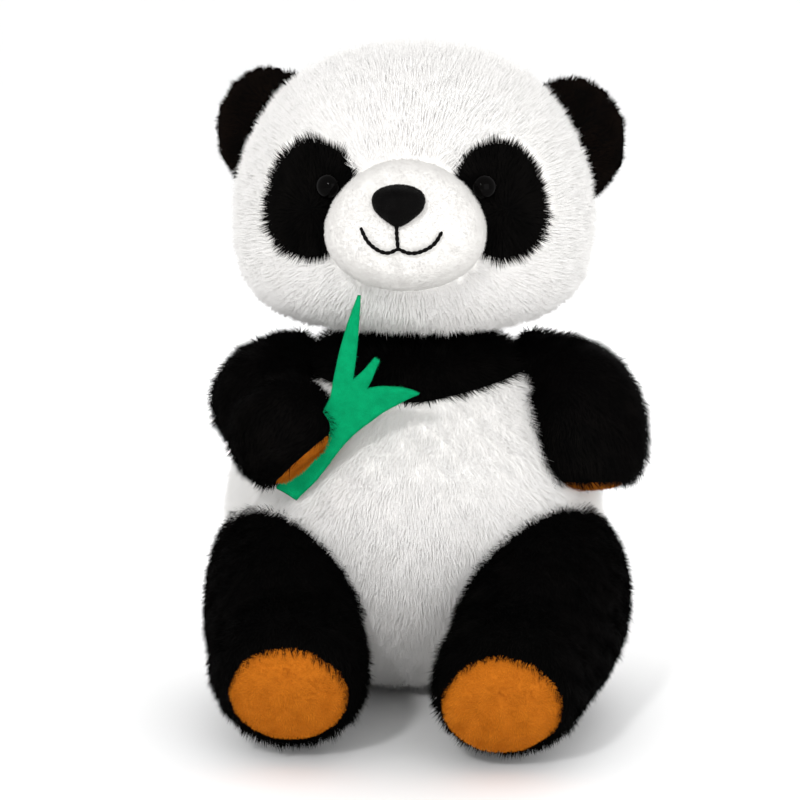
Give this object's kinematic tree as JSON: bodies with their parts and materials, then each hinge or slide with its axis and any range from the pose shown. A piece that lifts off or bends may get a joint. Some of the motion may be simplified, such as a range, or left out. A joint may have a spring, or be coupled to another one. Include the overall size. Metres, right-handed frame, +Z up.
{
  "type": "plush panda",
  "caption": "Seated stuffed panda toy with turning head, folding ears, sprung limbs, tan pads and a felt bamboo sprig held in one paw.",
  "frame": {"origin": "middle of the bounding box's base, on the surface the panda sits on", "axes": "+Z up; the panda faces -Y; its own right side, with the bamboo, is at -X"},
  "size_m": [0.2244, 0.2718, 0.33],
  "materials": {
    "white_plush": "matte",
    "white_short_plush": "matte",
    "black_plush": "matte",
    "black_long_plush": "matte",
    "tan_velboa": "matte",
    "black_velvet": "matte",
    "green_felt": "matte",
    "fibrefill": "matte",
    "eye_plastic": "gloss",
    "washer_plastic": "satin",
    "black_thread": "matte",
    "white_thread": "matte"
  },
  "bodies": {
    "torso": {"belly_skin": "white_plush", "shoulder_yoke": "black_plush", "body_filling": "fibrefill", "tail_skin": "white_plush", "tail_filling": "fibrefill"},
    "neck": {"neck_filling": "fibrefill", "neck_thread": "white_thread"},
    "head": {"head_front_skin": "white_plush", "head_back_skin": "white_plush", "head_filling": "fibrefill", "muzzle_skin": "white_short_plush", "muzzle_filling": "fibrefill", "nose": "black_velvet", "mouth_stitching": "black_thread", "right_eye_patch": "black_long_plush", "left_eye_patch": "black_long_plush", "right_eye": "eye_plastic", "left_eye": "eye_plastic", "right_eye_washer": "washer_plastic", "left_eye_washer": "washer_plastic"},
    "right_ear": {"right_ear_front": "black_plush", "right_ear_back": "black_plush", "right_ear_filling": "fibrefill"},
    "left_ear": {"left_ear_front": "black_plush", "left_ear_back": "black_plush", "left_ear_filling": "fibrefill"},
    "right_arm": {"right_arm_skin": "black_plush", "right_palm": "tan_velboa", "right_arm_filling": "fibrefill", "bamboo_sprig": "green_felt"},
    "left_arm": {"left_arm_skin": "black_plush", "left_palm": "tan_velboa", "left_arm_filling": "fibrefill"},
    "right_leg": {"right_leg_skin": "black_plush", "right_sole": "tan_velboa", "right_leg_filling": "fibrefill"},
    "left_leg": {"left_leg_skin": "black_plush", "left_sole": "tan_velboa", "left_leg_filling": "fibrefill"}
  },
  "joints": [
    {"name": "neck_turn", "type": "hinge", "parent": "torso", "child": "neck", "pos_m": [-0.00474, 0.03945, 0.191], "axis": [0, 0, 1], "range_deg": [-25, 25], "stiffness_Nm_per_rad": 0.6},
    {"name": "neck_nod", "type": "hinge", "parent": "neck", "child": "head", "pos_m": [-0.00474, 0.03945, 0.152], "axis": [-1, 0, 0], "range_deg": [0, 8], "stiffness_Nm_per_rad": 1.2},
    {"name": "right_ear_fold", "type": "hinge", "parent": "head", "child": "right_ear", "pos_m": [-0.09338, 0.04841, 0.253], "axis": [-0.4155, 0.0232, -0.9093], "range_deg": [-20, 25], "stiffness_Nm_per_rad": 0.02},
    {"name": "left_ear_fold", "type": "hinge", "parent": "head", "child": "left_ear", "pos_m": [0.08434, 0.03848, 0.253], "axis": [-0.4155, 0.0232, 0.9093], "range_deg": [-20, 25], "stiffness_Nm_per_rad": 0.02},
    {"name": "right_shoulder_open", "type": "hinge", "parent": "torso", "child": "right_arm", "pos_m": [-0.06874, 0.07545, 0.16], "axis": [0, 0, -1], "range_deg": [0, 28], "stiffness_Nm_per_rad": 0.25},
    {"name": "left_shoulder_open", "type": "hinge", "parent": "torso", "child": "left_arm", "pos_m": [0.05926, 0.07545, 0.16], "axis": [0, 0, 1], "range_deg": [0, 28], "stiffness_Nm_per_rad": 0.25},
    {"name": "right_hip_spread", "type": "hinge", "parent": "torso", "child": "right_leg", "pos_m": [-0.09674, 0.05545, 0.054], "axis": [0, 0, -1], "range_deg": [0, 20], "stiffness_Nm_per_rad": 0.4},
    {"name": "left_hip_spread", "type": "hinge", "parent": "torso", "child": "left_leg", "pos_m": [0.08726, 0.05545, 0.054], "axis": [0, 0, 1], "range_deg": [0, 20], "stiffness_Nm_per_rad": 0.4}
  ]
}
